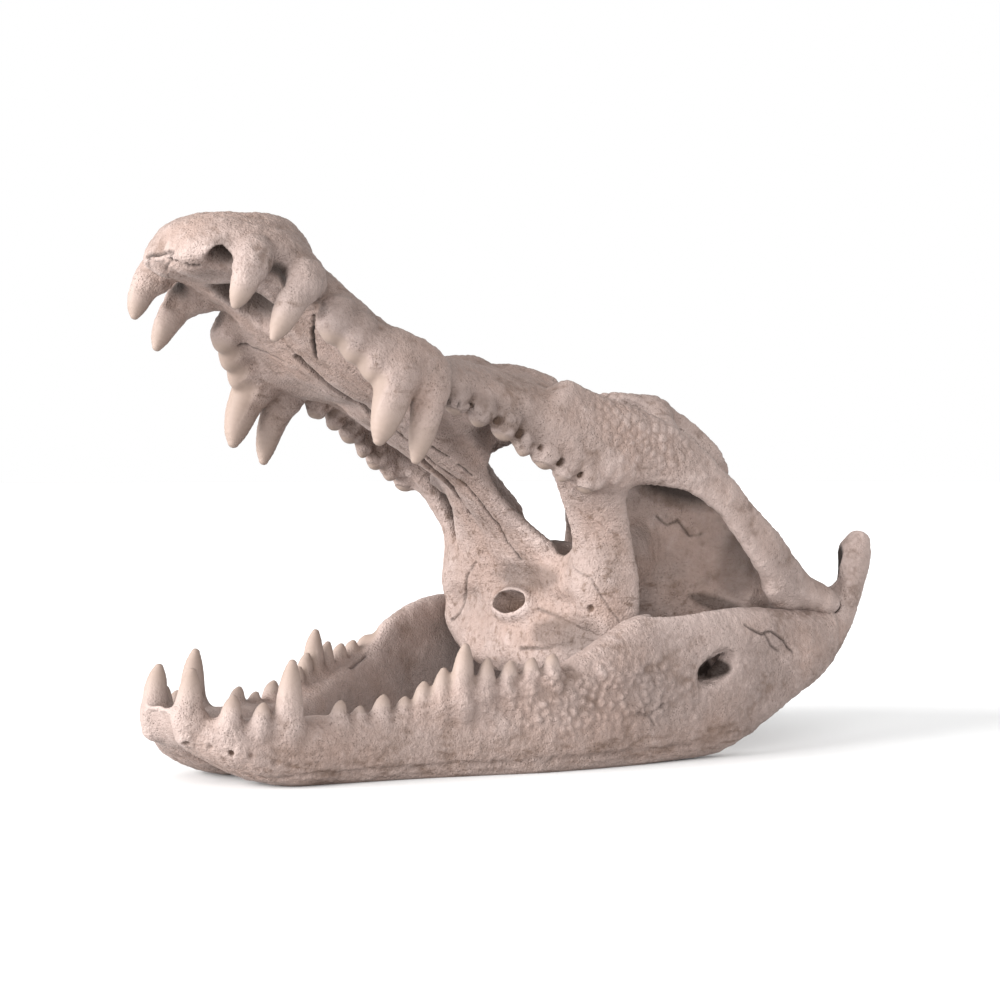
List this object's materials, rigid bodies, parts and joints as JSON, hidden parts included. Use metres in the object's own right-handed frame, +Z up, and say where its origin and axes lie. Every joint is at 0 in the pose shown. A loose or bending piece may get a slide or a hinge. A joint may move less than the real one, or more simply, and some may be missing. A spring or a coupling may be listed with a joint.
{
  "type": "crocodile skull",
  "caption": "Crocodile cranium and lower jaw, the mouth held wide open, resting on the flat keels of the lower jaw.",
  "frame": {"origin": "on the floor, under the middle of the whole skull's box", "axes": "+Z up, the snout points along -X, the animal's left side is at -Y"},
  "size_m": [0.5303, 0.2634, 0.3544],
  "materials": {
    "bone": "dry matt bone, pale pinkish beige"
  },
  "bodies": {
    "root": {"premaxillae": "bone", "maxillae": "bone", "skull_roof": "bone", "jugal_left": "bone", "jugal_right": "bone", "ectopterygoid_left": "bone", "ectopterygoid_right": "bone", "quadrate_left": "bone", "quadrate_right": "bone", "braincase": "bone", "palate": "bone", "dentary_left": "bone", "dentary_right": "bone", "angular_left": "bone", "angular_right": "bone", "articular_left": "bone", "articular_right": "bone"}
  },
  "joints": []
}
